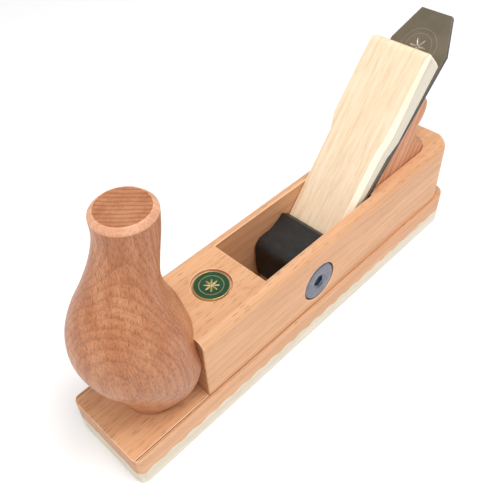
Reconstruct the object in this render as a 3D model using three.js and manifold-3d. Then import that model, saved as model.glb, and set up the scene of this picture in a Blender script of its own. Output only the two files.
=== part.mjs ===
// Wooden scrub plane with a horn, a wedged iron and a pivoting wedge abutment.
// Millimetres, +Z up. +X points to the toe, +Y to the plane's left side, and the
// origin is the centre of the sole's underside.
import * as THREE from 'three';
import { mergeVertices } from 'three/addons/utils/BufferGeometryUtils.js';
import Module from 'manifold-3d';

const wasm = await Module();
wasm.setup();

// ---------- driving dimensions ----------
const gap = 0.3; // between pieces that touch or are glued
const overrun = 5; // how far a cutter passes beyond what it cuts

// stock: the block as a whole
const stockLength = 246;
const stockHeight = 60;
const cheekThickness = 5.6; // wood on either side of the throat
const toeCornerRadius = 4;
const heelCornerRadius = 15; // of the upper part, seen from above
const heelFootRadius = 8; // of the lower part and the sole
const deckHeight = 21;
const deckLength = 45; // from the toe back to the step that the horn stands against
const cheekSetback = 1.4; // how far the upper side faces stand in from the lower ones
const upperEdgeRadius = 4.5;
const heelEdgeRadius = 6;
const quirkWidth = 1; // V groove along the foot of the upper side faces
const ledgeEdgeRadius = 0.8;

// sole and its wavy glue joint
const soleThickness = 9;
const waveHeight = 0.6; // either side of the mean joint
const waveCount = 22;
const waveSteps = 8; // straight steps in one wave

// throat and bed
const bedAngle = Math.PI / 4;
const throatSideClearance = 0.5; // on either side of the iron
const throatFrontReach = 22.5; // from the foot of the bed to the top of the front wall
const mouthClearance = 2.6; // ahead of the iron, at the underside of the sole

// iron
const ironWidth = 33;
const ironThickness = 3;
const ironLength = 184.3;
const ironEdgeRadius = 75; // the curved cutting edge
const ironBevel = 25 * Math.PI / 180;
const ironShoulderLength = 19; // long chamfers at the top corners
const ironTopWidth = 18;
const edgeRetraction = 0.3; // the cutting edge stands this far inside the sole

// wedge
const wedgeFootLift = 12; // from the underside of the sole, along the bed
const wedgeLength = 145.5;
const wedgeFootThickness = 1.2;
const wedgeTaper = 0.099;
const wedgeLeft = { clearance: 1.1, overhang: 1.2, chamfer: 2.6 }; // overhang of the head past the shank
const wedgeRight = { clearance: 0.3, overhang: 2.7, chamfer: 0.6 };
const wedgeHeadLength = 44; // from the shoulder's top to the struck end
const wedgeShoulderLength = 9;
const wedgeEndRadius = 5;

// cross bolt and abutment
const pivotUpBed = 34.3; // from the foot of the bed
const pivotStandoff = 10.1; // off the wedge's front face
const boltHeadDiameter = 22;
const boltHeadThickness = 3;
const boltHeadBevel = 1;
const boltShankDiameter = 6;
const boltShankLength = 28;
const hexAcrossFlats = 6;
const hexDepth = 1.8;
const dishDiameter = 9;
const dishDepth = 0.5;
const sleeveDiameter = 10;
const abutmentSideClearance = 0.4;
const abutmentLipReach = 20.3; // from the pivot up the wedge
const abutmentToeReach = 17.2; // from the pivot down the wedge
const abutmentLipHeight = 7.2; // both heights are off the wedge's front face
const abutmentToeHeight = 2;
const abutmentTop = 8.6; // above the pivot
const abutmentFront = 6.9; // ahead of the pivot
const abutmentShoulderRadius = 6.3;

// badge
const badgeSetback = 26.5; // behind the step
const badgeRecessDiameter = 20;
const badgeRecessDepth = 2;
const badgeDiameter = 17.4;
const badgeBaseThickness = 0.6;
const badgeRimWidth = 0.8;
const badgeEnamelThickness = 0.4;

// horn: a turned bulb that leans back as it rises
const hornHeight = 110;
const hornSetback = 30; // the middle of its foot, behind the toe
const hornRadii = [14, 20.9, 24.8, 26.4, 26.4, 24.5, 20.3, 15.9, 13.6, 12.9, 13.2];
const hornLean = [0.2, -3.4, -2.8, 1.4, 3.9, 4.9, 5, 2.4, -1.7, -5, -5.8];
const hornTopChamfer = 1.4;
const hornRearNarrowing = 0.3; // the bulb is carved slimmer where it meets the step
const hornCarvingTop = 90; // above its foot, where the carving has run out

// hand guard behind the iron
const guardSideInset = 1.9; // narrower than the iron on each side
const guardLength = 60.5; // along the top of the stock
const guardHeelMargin = 13;
const guardFrontLength = 54; // up the bed, from the top of the stock
const guardMortise = 3;
const guardWaistReach = 21.5; // hollow of the rear face, ahead of the foot's rear end
const guardWaistRise = 20;
const guardLipReach = 14.5; // the lip over the hand, ahead of the foot's rear end
const guardLipRise = 30;

// dowels
const dowelDiameter = 8;
const dowelInStock = 10;
const dowelInHorn = 22;
const hornDowelSpacing = 12;
const guardDowelReach = 29; // ahead of the foot's rear end
const guardDowelSpacing = 16;
const dowelInGuard = 12;

// strike button at the heel
const buttonZ = 38;
const buttonDiameter = 14;
const buttonInlay = 1.5;
const buttonProjection = 2.4;
const buttonShankDiameter = 8;
const buttonShankLength = 16;

// ---------- places worked out from them ----------
const toeX = stockLength / 2;
const heelX = -stockLength / 2;
const stepX = toeX - deckLength;
const hornX = toeX - hornSetback;
const badgeX = stepX - badgeSetback;
const bedSlope = 1 / Math.tan(bedAngle); // x lost for each millimetre of rise
const guardRearX = heelX + guardHeelMargin;
const bedFootX = guardRearX + guardLength + stockHeight * bedSlope; // on the underside of the sole
const throatFrontX = bedFootX + throatFrontReach;
const throatWidth = ironWidth + 2 * throatSideClearance;
const cheekY = throatWidth / 2 + cheekThickness;
const stockWidth = 2 * (cheekY + cheekSetback);
const guardWidth = ironWidth - 2 * guardSideInset;
const guardDowelX = guardRearX + guardDowelReach;
const ironFront = gap + ironThickness;
const wedgeBack = ironFront + gap;
const mouthFrontX = bedFootX + ironFront / Math.sin(bedAngle) + mouthClearance;
const wedgeFaceAngle = bedAngle + Math.atan(wedgeTaper);
const [pivotX, pivotZ] = offWedge(0, pivotStandoff);
const boltFaceY = cheekY - 0.1;
const headSeatY = boltFaceY - boltHeadThickness;

// height of the wedge's front face off the bed, in the iron's axes
function wedgeFrontAt(x) {
  return wedgeBack + wedgeFootThickness + wedgeTaper * (-x - wedgeFootLift);
}

// a point from its reach down the wedge's front face, past the pivot's place, and its height off it
function offWedge(reach, height) {
  const bedX = -pivotUpBed;
  const bedZ = wedgeFrontAt(bedX);
  const faceX = bedFootX + bedX * Math.cos(bedAngle) + bedZ * Math.sin(bedAngle);
  const faceZ = bedZ * Math.cos(bedAngle) - bedX * Math.sin(bedAngle);
  const x = faceX + reach * Math.cos(wedgeFaceAngle) + height * Math.sin(wedgeFaceAngle);
  const z = faceZ - reach * Math.sin(wedgeFaceAngle) + height * Math.cos(wedgeFaceAngle);
  return [x, z];
}

// ---------- helpers ----------
function solid(geometry) {
  const bare = geometry.clone();
  bare.deleteAttribute('normal');
  bare.deleteAttribute('uv');
  const merged = mergeVertices(bare, 1e-5);
  return new wasm.Manifold(new wasm.Mesh({
    numProp: 3,
    vertProperties: new Float32Array(merged.attributes.position.array),
    triVerts: new Uint32Array(merged.index.array),
  }));
}

function meshOf(name, shape, material) {
  const data = shape.getMesh();
  const geometry = new THREE.BufferGeometry();
  geometry.setAttribute('position', new THREE.BufferAttribute(data.vertProperties, 3));
  geometry.setIndex(new THREE.BufferAttribute(data.triVerts, 1));
  geometry.computeVertexNormals();
  const mesh = new THREE.Mesh(geometry, material);
  mesh.name = name;
  return mesh;
}

function extruded(shape, depth, curveSegments) {
  return new THREE.ExtrudeGeometry(shape, { depth, bevelEnabled: false, curveSegments });
}

// a plan outline (x, y) raised from one height to another
function raised(shape, bottom, top, curveSegments = 8) {
  const geometry = extruded(shape, top - bottom, curveSegments);
  geometry.translate(0, 0, bottom);
  return solid(geometry);
}

// a side outline (x, z) carried across the width, centred on y = 0
function across(shape, width, curveSegments = 8) {
  const geometry = extruded(shape, width, curveSegments);
  geometry.rotateX(Math.PI / 2);
  geometry.translate(0, width / 2, 0);
  return solid(geometry);
}

// an end outline (y, z) carried along the length
function along(shape, fromX, toX, curveSegments = 8) {
  const geometry = extruded(shape, toX - fromX, curveSegments);
  const endOn = new THREE.Matrix4().makeBasis(
    new THREE.Vector3(0, 1, 0),
    new THREE.Vector3(0, 0, 1),
    new THREE.Vector3(1, 0, 0),
  );
  geometry.applyMatrix4(endOn);
  geometry.translate(fromX, 0, 0);
  return solid(geometry);
}

function outline(points) {
  return new THREE.Shape(points.map(([x, y]) => new THREE.Vector2(x, y)));
}

function upright(diameter, bottom, top, x, y, segments = 24) {
  const geometry = new THREE.CylinderGeometry(diameter / 2, diameter / 2, top - bottom, segments);
  geometry.rotateX(Math.PI / 2);
  geometry.translate(x, y, (top + bottom) / 2);
  return solid(geometry);
}

// a round bar lying across the plane at the pivot
function crossBar(diameter, fromY, toY, segments = 32) {
  const geometry = new THREE.CylinderGeometry(diameter / 2, diameter / 2, toY - fromY, segments);
  geometry.translate(pivotX, (toY + fromY) / 2, 0);
  geometry.translate(0, 0, pivotZ);
  return solid(geometry);
}

// from the iron's own axes (x down the bed, z off the bed) to the plane's axes
function ontoBed(shape) {
  const place = new THREE.Matrix4().makeRotationY(bedAngle);
  place.setPosition(bedFootX, 0, 0);
  return shape.transform(place.elements.slice());
}

function planOutline(halfWidth, frontX, frontRadius, rear) {
  const shape = new THREE.Shape();
  shape.moveTo(heelX + rear, -halfWidth);
  shape.lineTo(frontX - frontRadius, -halfWidth);
  shape.absarc(frontX - frontRadius, frontRadius - halfWidth, frontRadius, -Math.PI / 2, 0);
  shape.lineTo(frontX, halfWidth - frontRadius);
  shape.absarc(frontX - frontRadius, halfWidth - frontRadius, frontRadius, 0, Math.PI / 2);
  shape.lineTo(heelX + rear, halfWidth);
  shape.absarc(heelX + rear, halfWidth - rear, rear, Math.PI / 2, Math.PI);
  shape.lineTo(heelX, rear - halfWidth);
  shape.absarc(heelX + rear, rear - halfWidth, rear, Math.PI, Math.PI * 1.5);
  return shape;
}

// ---------- materials ----------
function surface(color, roughness, metalness) {
  return new THREE.MeshStandardMaterial({ color, roughness, metalness });
}

const beech = surface(0xe9bd92, 0.55, 0);
const paleHornbeam = surface(0xe2dcc8, 0.55, 0);
const hornbeam = surface(0xf6e2bd, 0.5, 0);
const redBeech = surface(0xbc8460, 0.5, 0);
const guardBeech = surface(0xdfa27c, 0.55, 0);
const dowelBeech = surface(0xd9b184, 0.6, 0);
const ironSteel = surface(0x8c836f, 0.35, 1);
const zincSteel = surface(0x78828f, 0.4, 1);
const blackCasting = surface(0x2d2d2a, 0.35, 0);
const gilt = surface(0xe3cf80, 0.3, 1);
const greenEnamel = surface(0x196941, 0.2, 0);

// ---------- the glue joint between stock and sole ----------
function jointHeight(x) {
  return soleThickness + waveHeight * Math.sin((2 * Math.PI * waveCount * (x - heelX)) / stockLength);
}

function jointPoints(lift) {
  const points = [[heelX - overrun, soleThickness + lift]];
  const steps = waveCount * waveSteps;
  for (let i = 0; i <= steps; i += 1) {
    const x = heelX + (stockLength * i) / steps;
    points.push([x, jointHeight(x) + lift]);
  }
  points.push([toeX + overrun, soleThickness + lift]);
  return points;
}

// the throat as one cutter, right through the stock and the sole
function throatCutter() {
  const below = -overrun;
  const above = stockHeight + overrun;
  const frontSlope = (throatFrontX - mouthFrontX) / stockHeight;
  const side = outline([
    [bedFootX - below * bedSlope, below],
    [mouthFrontX + below * frontSlope + overrun, below],
    [mouthFrontX, 0],
    [mouthFrontX + above * frontSlope, above],
    [bedFootX - above * bedSlope, above],
  ]);
  return across(side, throatWidth);
}

// ---------- stock ----------
function lowerBlock() {
  const half = stockWidth / 2;
  const r = ledgeEdgeRadius;
  const end = new THREE.Shape();
  end.moveTo(-half, 0);
  end.lineTo(half, 0);
  end.lineTo(half, deckHeight - r);
  end.absarc(half - r, deckHeight - r, r, 0, Math.PI / 2);
  end.lineTo(r - half, deckHeight);
  end.absarc(r - half, deckHeight - r, r, Math.PI / 2, Math.PI);
  const plan = raised(planOutline(half, toeX, toeCornerRadius, heelFootRadius), 0, deckHeight);
  const top = jointPoints(gap);
  top.push([toeX + overrun, deckHeight + overrun], [heelX - overrun, deckHeight + overrun]);
  return along(end, heelX, toeX, 3).intersect(plan).intersect(across(outline(top), stockWidth + overrun));
}

function upperBlock() {
  const foot = deckHeight - 1;
  const r = upperEdgeRadius;
  const end = new THREE.Shape();
  end.moveTo(-cheekY, foot);
  end.lineTo(cheekY, foot);
  end.lineTo(cheekY, stockHeight - r);
  end.absarc(cheekY - r, stockHeight - r, r, 0, Math.PI / 2);
  end.lineTo(r - cheekY, stockHeight);
  end.absarc(r - cheekY, stockHeight - r, r, Math.PI / 2, Math.PI);
  const side = new THREE.Shape();
  side.moveTo(heelX, foot);
  side.lineTo(stepX, foot);
  side.lineTo(stepX, stockHeight);
  side.lineTo(heelX + heelEdgeRadius, stockHeight);
  side.absarc(heelX + heelEdgeRadius, stockHeight - heelEdgeRadius, heelEdgeRadius, Math.PI / 2, Math.PI);
  const plan = raised(planOutline(cheekY, stepX, 1, heelCornerRadius), foot, stockHeight);
  return along(end, heelX, stepX).intersect(plan).intersect(across(side, stockWidth));
}

function quirk(y) {
  const h = quirkWidth / 2;
  const end = outline([[y - h, deckHeight], [y, deckHeight - h], [y + h, deckHeight], [y, deckHeight + h]]);
  return along(end, heelX - overrun, toeX + overrun);
}

function bodyStock() {
  let wood = lowerBlock().add(upperBlock());
  wood = wood.subtract(quirk(cheekY)).subtract(quirk(-cheekY));
  wood = wood.subtract(throatCutter());
  wood = wood.subtract(crossBar(sleeveDiameter + 2 * gap, -stockWidth, stockWidth));
  const seat = boltHeadDiameter + 2 * gap;
  wood = wood.subtract(crossBar(seat, headSeatY - gap, stockWidth, 48));
  wood = wood.subtract(crossBar(seat, -stockWidth, gap - headSeatY, 48));
  const recessFloor = stockHeight - badgeRecessDepth;
  wood = wood.subtract(upright(badgeRecessDiameter, recessFloor, stockHeight + overrun, badgeX, 0, 48));
  wood = wood.subtract(raised(guardPlan(gap), stockHeight - guardMortise, stockHeight + overrun));
  for (const hole of hornDowelHoles()) {
    wood = wood.subtract(hole);
  }
  for (const hole of guardDowelHoles()) {
    wood = wood.subtract(hole);
  }
  const inlay = heelBore(buttonDiameter + 2 * gap, buttonInlay + gap);
  const shank = heelBore(buttonShankDiameter + 2 * gap, buttonInlay + buttonShankLength + gap);
  return wood.subtract(inlay).subtract(shank);
}

function heelBore(diameter, depth) {
  const length = depth + overrun;
  const geometry = new THREE.CylinderGeometry(diameter / 2, diameter / 2, length, 32);
  geometry.rotateZ(Math.PI / 2);
  geometry.translate(heelX + depth - length / 2, 0, buttonZ);
  return solid(geometry);
}

// ---------- sole ----------
function sole() {
  const top = jointPoints(0);
  top.push([toeX + overrun, -overrun], [heelX - overrun, -overrun]);
  const plan = raised(planOutline(stockWidth / 2, toeX, toeCornerRadius, heelFootRadius), 0, deckHeight);
  return plan.intersect(across(outline(top), stockWidth + overrun)).subtract(throatCutter());
}

// ---------- horn ----------
function smoothValue(values, share) {
  const points = values.map((value, i) => new THREE.Vector2(i, value));
  return new THREE.SplineCurve(points).getPoint(THREE.MathUtils.clamp(share, 0, 1)).y;
}

function hornBulb(foot) {
  const levels = 34;
  const profile = [new THREE.Vector2(0, 0)];
  const chamferStart = hornHeight - hornTopChamfer;
  for (let i = 0; i <= levels; i += 1) {
    const share = i / levels;
    const height = chamferStart * share;
    profile.push(new THREE.Vector2(smoothValue(hornRadii, height / hornHeight), height));
  }
  const topRadius = hornRadii[hornRadii.length - 1] - hornTopChamfer;
  profile.push(new THREE.Vector2(topRadius, hornHeight));
  profile.push(new THREE.Vector2(0, hornHeight));
  const geometry = new THREE.LatheGeometry(profile, 48);
  geometry.rotateX(Math.PI / 2);
  const position = geometry.attributes.position;
  for (let i = 0; i < position.count; i += 1) {
    const height = position.getZ(i);
    const lean = smoothValue(hornLean, height / hornHeight);
    const rearShare = Math.max(0, -position.getX(i)) / smoothValue(hornRadii, height / hornHeight);
    const carving = hornRearNarrowing * Math.min(1, 2 * Math.max(0, 1 - height / hornCarvingTop));
    position.setY(i, position.getY(i) * (1 - carving * rearShare ** 2));
    position.setX(i, position.getX(i) + hornX + lean);
  }
  geometry.translate(0, 0, foot);
  return solid(geometry);
}

function horn() {
  const clearX = stepX + gap;
  const clearZ = stockHeight + gap;
  const room = outline([
    [clearX - stockLength, deckHeight - overrun],
    [clearX, deckHeight - overrun],
    [clearX, clearZ],
    [clearX - stockLength, clearZ],
  ]);
  let wood = hornBulb(deckHeight + gap).subtract(across(room, stockLength));
  for (const hole of hornDowelHoles()) {
    wood = wood.subtract(hole);
  }
  return wood;
}

function hornDowelPlaces() {
  const middle = hornX + 1;
  return [middle - hornDowelSpacing / 2, middle + hornDowelSpacing / 2];
}

function hornDowelHoles() {
  return hornDowelPlaces().map((x) => {
    const bottom = deckHeight - dowelInStock - gap;
    const top = deckHeight + dowelInHorn + 2 * gap;
    return upright(dowelDiameter + 2 * gap, bottom, top, x, 0);
  });
}

function hornDowel(x) {
  return upright(dowelDiameter, deckHeight - dowelInStock, deckHeight + dowelInHorn + gap, x, 0);
}

// ---------- hand guard ----------
// the bed's line at a height, moved off it by a distance
function bedLineX(z, off) {
  return bedFootX - z * bedSlope + off / Math.sin(bedAngle);
}

function guardPlan(margin) {
  const half = guardWidth / 2 + margin;
  const rearCentre = guardRearX + guardWidth / 2;
  const front = bedLineX(stockHeight - guardMortise, 0) + overrun;
  const shape = new THREE.Shape();
  shape.moveTo(front, -half);
  shape.lineTo(front, half);
  shape.lineTo(rearCentre, half);
  shape.absarc(rearCentre, 0, half, Math.PI / 2, Math.PI * 1.5);
  return shape;
}

function handGuard() {
  const foot = stockHeight - guardMortise + gap;
  const topZ = stockHeight + guardFrontLength * Math.sin(bedAngle);
  const frontTop = bedLineX(topZ, -gap);
  const waistX = guardRearX + guardWaistReach;
  const waistZ = stockHeight + guardWaistRise;
  const lipX = guardRearX + guardLipReach;
  const lipZ = stockHeight + guardLipRise;
  const side = new THREE.Shape();
  side.moveTo(bedLineX(foot, -gap), foot);
  side.lineTo(frontTop, topZ);
  side.quadraticCurveTo(lipX, topZ - 0.5, lipX, lipZ);
  side.quadraticCurveTo(lipX + 0.5, waistZ + 5, waistX, waistZ);
  side.quadraticCurveTo(waistX - 1, stockHeight + 4, guardRearX, stockHeight);
  side.lineTo(guardRearX, foot);
  let wood = across(side, guardWidth, 10).intersect(raised(guardPlan(0), foot, topZ, 12));
  for (const hole of guardDowelHoles()) {
    wood = wood.subtract(hole);
  }
  return wood;
}

function guardDowelPlaces() {
  return [guardDowelSpacing / 2, -guardDowelSpacing / 2];
}

function guardDowelHoles() {
  const floor = stockHeight - guardMortise;
  return guardDowelPlaces().map((y) => {
    const bottom = floor - dowelInStock - gap;
    return upright(dowelDiameter + 2 * gap, bottom, floor + dowelInGuard + 2 * gap, guardDowelX, y);
  });
}

function guardDowel(y) {
  const floor = stockHeight - guardMortise;
  return upright(dowelDiameter, floor - dowelInStock, floor + dowelInGuard + gap, guardDowelX, y);
}

// ---------- badge ----------
const badgeFoot = stockHeight - badgeRecessDepth + gap;
const badgeFloor = badgeFoot + badgeBaseThickness;
const enamelTop = badgeFloor + gap + badgeEnamelThickness;

function badgePlate() {
  const inner = badgeDiameter - 2 * badgeRimWidth;
  const disc = upright(badgeDiameter, badgeFoot, enamelTop + 0.1, badgeX, 0, 48);
  return disc.subtract(upright(inner, badgeFloor, stockHeight + overrun, badgeX, 0, 48));
}

function badgeEnamel() {
  const diameter = badgeDiameter - 2 * badgeRimWidth - 2 * gap;
  return upright(diameter, badgeFloor + gap, enamelTop, badgeX, 0, 48);
}

// ---------- iron, in its own axes: x down the bed, z off the bed ----------
// along the bed, the front face's edge lies below the point where the back meets the sole
const edgeX = ironFront / Math.tan(bedAngle) - edgeRetraction / Math.sin(bedAngle);
const ironTopX = edgeX - ironLength;

function planeIron() {
  const half = ironWidth / 2;
  const top = ironTopWidth / 2;
  const shoulder = ironTopX + ironShoulderLength;
  const blank = outline([
    [edgeX + 1, -half],
    [edgeX + 1, half],
    [shoulder, half],
    [ironTopX, top],
    [ironTopX, -top],
    [shoulder, -half],
  ]);
  const plate = raised(blank, gap, ironFront);
  const bevelRun = ironThickness / Math.tan(ironBevel);
  const backRadius = ironEdgeRadius - bevelRun;
  const cone = new THREE.CylinderGeometry(ironEdgeRadius, backRadius, ironThickness, 160);
  cone.rotateX(Math.PI / 2);
  cone.translate(edgeX - ironEdgeRadius, 0, gap + ironThickness / 2);
  const nose = outline([
    [edgeX - ironEdgeRadius / 2, -ironWidth],
    [edgeX + overrun, -ironWidth],
    [edgeX + overrun, ironWidth],
    [edgeX - ironEdgeRadius / 2, ironWidth],
  ]);
  const waste = raised(nose, gap - overrun, ironFront + overrun).subtract(solid(cone));
  return ontoBed(plate.subtract(waste));
}

// ---------- wedge, in the iron's axes ----------
function wedge() {
  const footX = -wedgeFootLift;
  const endX = footX - wedgeLength;
  const r = wedgeEndRadius;
  const endFront = wedgeFrontAt(endX);
  const side = new THREE.Shape();
  side.moveTo(footX, wedgeBack);
  side.lineTo(footX, wedgeFrontAt(footX));
  side.lineTo(endX + r, wedgeFrontAt(endX + r));
  side.quadraticCurveTo(endX, endFront, endX, endFront - r);
  side.lineTo(endX, wedgeBack + r / 2);
  side.quadraticCurveTo(endX, wedgeBack, endX + r / 2, wedgeBack);
  const left = wedgeEdge(wedgeLeft);
  const right = wedgeEdge(wedgeRight);
  const head = left[0][1];
  const rightHead = right[0][1];
  const plan = outline([
    ...[...left].reverse().slice(0, -1),
    [endX + 2, head - 1],
    [endX, head - 3],
    [endX, 3 - rightHead],
    [endX + 2, 1 - rightHead],
    ...right.slice(1).map(([x, y]) => [x, -y]),
  ]);
  const widest = 2 * Math.max(head, rightHead);
  const reach = wedgeFrontAt(endX) + overrun;
  let wood = across(side, widest, 6).intersect(raised(plan, 0, reach));
  for (let i = 1; i < left.length; i += 1) {
    wood = wood.subtract(frontChamfer(1, wedgeLeft.chamfer, left[i - 1], left[i]));
    wood = wood.subtract(frontChamfer(-1, wedgeRight.chamfer, right[i - 1], right[i]));
  }
  return ontoBed(wood);
}

// the plan of one side of the wedge, from the struck end to the foot, as (x, distance out)
function wedgeEdge({ clearance, overhang }) {
  const footX = -wedgeFootLift;
  const endX = footX - wedgeLength;
  const shank = throatWidth / 2 - clearance;
  const shoulderTop = endX + wedgeHeadLength;
  const head = shank + overhang;
  return [[endX, head], [shoulderTop, head], [shoulderTop + wedgeShoulderLength, shank], [footX, shank]];
}

// a bar turned on its corner that takes the arris off the wedge's front face
function frontChamfer(hand, c, [fromX, fromY], [toX, toY]) {
  const past = 0.3;
  const corner = outline([[-c, 0], [overrun, 0], [overrun, -c - overrun], [0, -c]]);
  const length = Math.hypot(toX - fromX, toY - fromY);
  const turn = new THREE.Matrix4().makeRotationZ(Math.atan2(toY - fromY, toX - fromX));
  turn.setPosition(fromX, fromY, 0);
  const bar = along(corner, -past, length + past).transform(turn.elements.slice());
  const placed = hand > 0 ? bar : bar.mirror([0, 1, 0]);
  const tilt = new THREE.Matrix4().makeRotationY(Math.atan(wedgeTaper));
  tilt.setPosition(0, 0, wedgeFrontAt(0));
  return placed.transform(tilt.elements.slice());
}

// ---------- abutment ----------
function abutment() {
  const r = abutmentShoulderRadius;
  const topZ = pivotZ + abutmentTop;
  const frontX = pivotX + abutmentFront;
  const side = new THREE.Shape();
  side.moveTo(...offWedge(-abutmentLipReach, gap));
  side.lineTo(...offWedge(-abutmentLipReach, abutmentLipHeight + gap));
  side.quadraticCurveTo(pivotX - 9.5, topZ + 0.5, pivotX - 3.5, topZ);
  side.lineTo(frontX - r, topZ);
  side.absarc(frontX - r, topZ - r, r, Math.PI / 2, 0, true);
  side.lineTo(frontX - 0.5, pivotZ - 11);
  side.lineTo(...offWedge(abutmentToeReach, abutmentToeHeight + gap));
  side.lineTo(...offWedge(abutmentToeReach, gap));
  const width = throatWidth - 2 * abutmentSideClearance;
  return across(side, width, 10).subtract(crossBar(sleeveDiameter + 2 * gap, -stockWidth, stockWidth));
}

// ---------- cross bolt and sleeve nut ----------
function boltHead(hand) {
  const r = boltHeadDiameter / 2;
  const dish = dishDiameter / 2;
  const thickness = boltHeadThickness;
  const profile = [
    new THREE.Vector2(0, 0),
    new THREE.Vector2(r, 0),
    new THREE.Vector2(r, thickness - boltHeadBevel),
    new THREE.Vector2(r - boltHeadBevel, thickness),
    new THREE.Vector2(dish, thickness),
    new THREE.Vector2(dish - 1, thickness - dishDepth),
    new THREE.Vector2(0, thickness - dishDepth),
  ];
  const geometry = new THREE.LatheGeometry(profile, 48);
  const socketRadius = hexAcrossFlats / Math.sqrt(3);
  const socket = new THREE.CylinderGeometry(socketRadius, socketRadius, hexDepth + 1, 6);
  socket.translate(0, thickness - dishDepth - hexDepth + (hexDepth + 1) / 2, 0);
  const head = solid(geometry).subtract(solid(socket));
  const place = new THREE.Matrix4().makeRotationX(hand > 0 ? 0 : Math.PI);
  place.setPosition(pivotX, hand * headSeatY, pivotZ);
  return head.transform(place.elements.slice());
}

function crossBolt() {
  const shank = crossBar(boltShankDiameter, headSeatY - boltShankLength, headSeatY + 0.5, 24);
  return boltHead(1).add(shank);
}

function sleeveNut() {
  const barrel = crossBar(sleeveDiameter, -headSeatY - 0.5, headSeatY - gap);
  const boreFoot = headSeatY - boltShankLength - gap;
  const bore = crossBar(boltShankDiameter + 2 * gap, boreFoot, stockWidth, 24);
  return boltHead(-1).add(barrel).subtract(bore);
}

// ---------- strike button ----------
function strikeButton() {
  const r = buttonDiameter / 2;
  const shank = buttonShankDiameter / 2;
  const profile = [
    new THREE.Vector2(0, -buttonShankLength),
    new THREE.Vector2(shank - 0.6, -buttonShankLength),
    new THREE.Vector2(shank, 0.6 - buttonShankLength),
    new THREE.Vector2(shank, 0),
    new THREE.Vector2(r, 0),
    new THREE.Vector2(r, buttonInlay),
  ];
  const steps = 6;
  for (let i = 1; i <= steps; i += 1) {
    const turn = (Math.PI / 2) * (i / steps);
    const radius = i === steps ? 0 : r * Math.cos(turn);
    profile.push(new THREE.Vector2(radius, buttonInlay + buttonProjection * Math.sin(turn)));
  }
  const geometry = new THREE.LatheGeometry(profile, 32);
  geometry.rotateZ(Math.PI / 2);
  geometry.translate(heelX + buttonInlay, 0, buttonZ);
  return solid(geometry);
}

// ---------- assembly ----------
const plane = new THREE.Group();
plane.add(meshOf('body_stock', bodyStock(), beech));
plane.add(meshOf('sole', sole(), paleHornbeam));
plane.add(meshOf('front_horn', horn(), redBeech));
const [rearDowelX, frontDowelX] = hornDowelPlaces();
plane.add(meshOf('horn_dowel_rear', hornDowel(rearDowelX), dowelBeech));
plane.add(meshOf('horn_dowel_front', hornDowel(frontDowelX), dowelBeech));
plane.add(meshOf('hand_guard', handGuard(), guardBeech));
const [leftDowelY, rightDowelY] = guardDowelPlaces();
plane.add(meshOf('guard_dowel_left', guardDowel(leftDowelY), dowelBeech));
plane.add(meshOf('guard_dowel_right', guardDowel(rightDowelY), dowelBeech));
plane.add(meshOf('badge_plate', badgePlate(), gilt));
plane.add(meshOf('badge_enamel', badgeEnamel(), greenEnamel));
plane.add(meshOf('plane_iron', planeIron(), ironSteel));
plane.add(meshOf('wedge', wedge(), hornbeam));
plane.add(meshOf('wedge_abutment', abutment(), blackCasting));
plane.add(meshOf('cross_bolt', crossBolt(), zincSteel));
plane.add(meshOf('sleeve_nut', sleeveNut(), zincSteel));
plane.add(meshOf('strike_button', strikeButton(), zincSteel));

export default plane;
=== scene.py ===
from math import cos, pi, radians, sin

import bmesh
import bpy
from mathutils import Matrix, Vector


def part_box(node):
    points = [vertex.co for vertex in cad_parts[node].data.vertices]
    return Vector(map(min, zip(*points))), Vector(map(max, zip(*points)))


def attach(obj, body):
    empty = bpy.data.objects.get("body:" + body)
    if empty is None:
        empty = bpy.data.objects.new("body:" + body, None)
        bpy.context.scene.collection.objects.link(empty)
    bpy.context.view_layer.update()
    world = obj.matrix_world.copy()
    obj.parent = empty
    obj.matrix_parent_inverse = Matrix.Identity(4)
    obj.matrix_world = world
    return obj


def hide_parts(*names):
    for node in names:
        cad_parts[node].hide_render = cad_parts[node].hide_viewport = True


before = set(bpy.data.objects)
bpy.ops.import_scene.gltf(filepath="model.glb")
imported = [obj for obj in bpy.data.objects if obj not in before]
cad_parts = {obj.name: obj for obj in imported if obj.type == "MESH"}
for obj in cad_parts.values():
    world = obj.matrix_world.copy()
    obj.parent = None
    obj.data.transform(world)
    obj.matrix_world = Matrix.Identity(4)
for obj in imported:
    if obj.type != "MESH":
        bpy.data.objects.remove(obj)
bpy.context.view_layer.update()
MM = 0.001

# ---------- body stock ----------
# One block of steamed beech, its grain along the sole and its arrises paler, partly worn and partly a
# painted highlight. The throat, the bed, the mortises and the bolt seats are machined into it, and its
# upper edges and the corners of its heel are rounded for the hand.
SAME_POINT = 0.001 * MM  # points nearer than this are one point
SLIVER = 0.01 * MM  # edges shorter than this are closed up
FLAT_ANGLE = radians(0.5)  # faces that turn less than this are one face
LEAST_TURN = radians(28)  # edges that turn more than this are rounded
BODY_ARRIS = 0.35 * MM  # softened edges left by sanding
GLUE_LINE = 0.28 * MM  # how far the foot comes down to meet the sole
JOINT_TOP = 11 * MM  # everything lower than this belongs to the wavy joint
FITTING_GAP = 0.3 * MM  # between the nodes of pieces that are glued together
CHEEK_SETBACK = 1.4 * MM  # of the upper side faces from the lower ones
HEEL_RADIUS = 15 * MM
HEEL_STEPS = 24
HEEL_REACH = 20 * MM  # how far along the stock the rounding of the heel is taken
HEEL_CURVE = 12 * MM  # the stretch where the groove ends and its arrises stay crisp
GROOVE_REACH = 0.6 * MM  # above and below the middle of the groove
RIM_RADIUS = 4.5 * MM  # of the top edge where it goes round the corners of the heel
RIM_STEPS = 8
RIM_FIT = 0.02 * MM
RIM_DEPTH = 12 * MM  # how far down from the top the corners are worked


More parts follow.
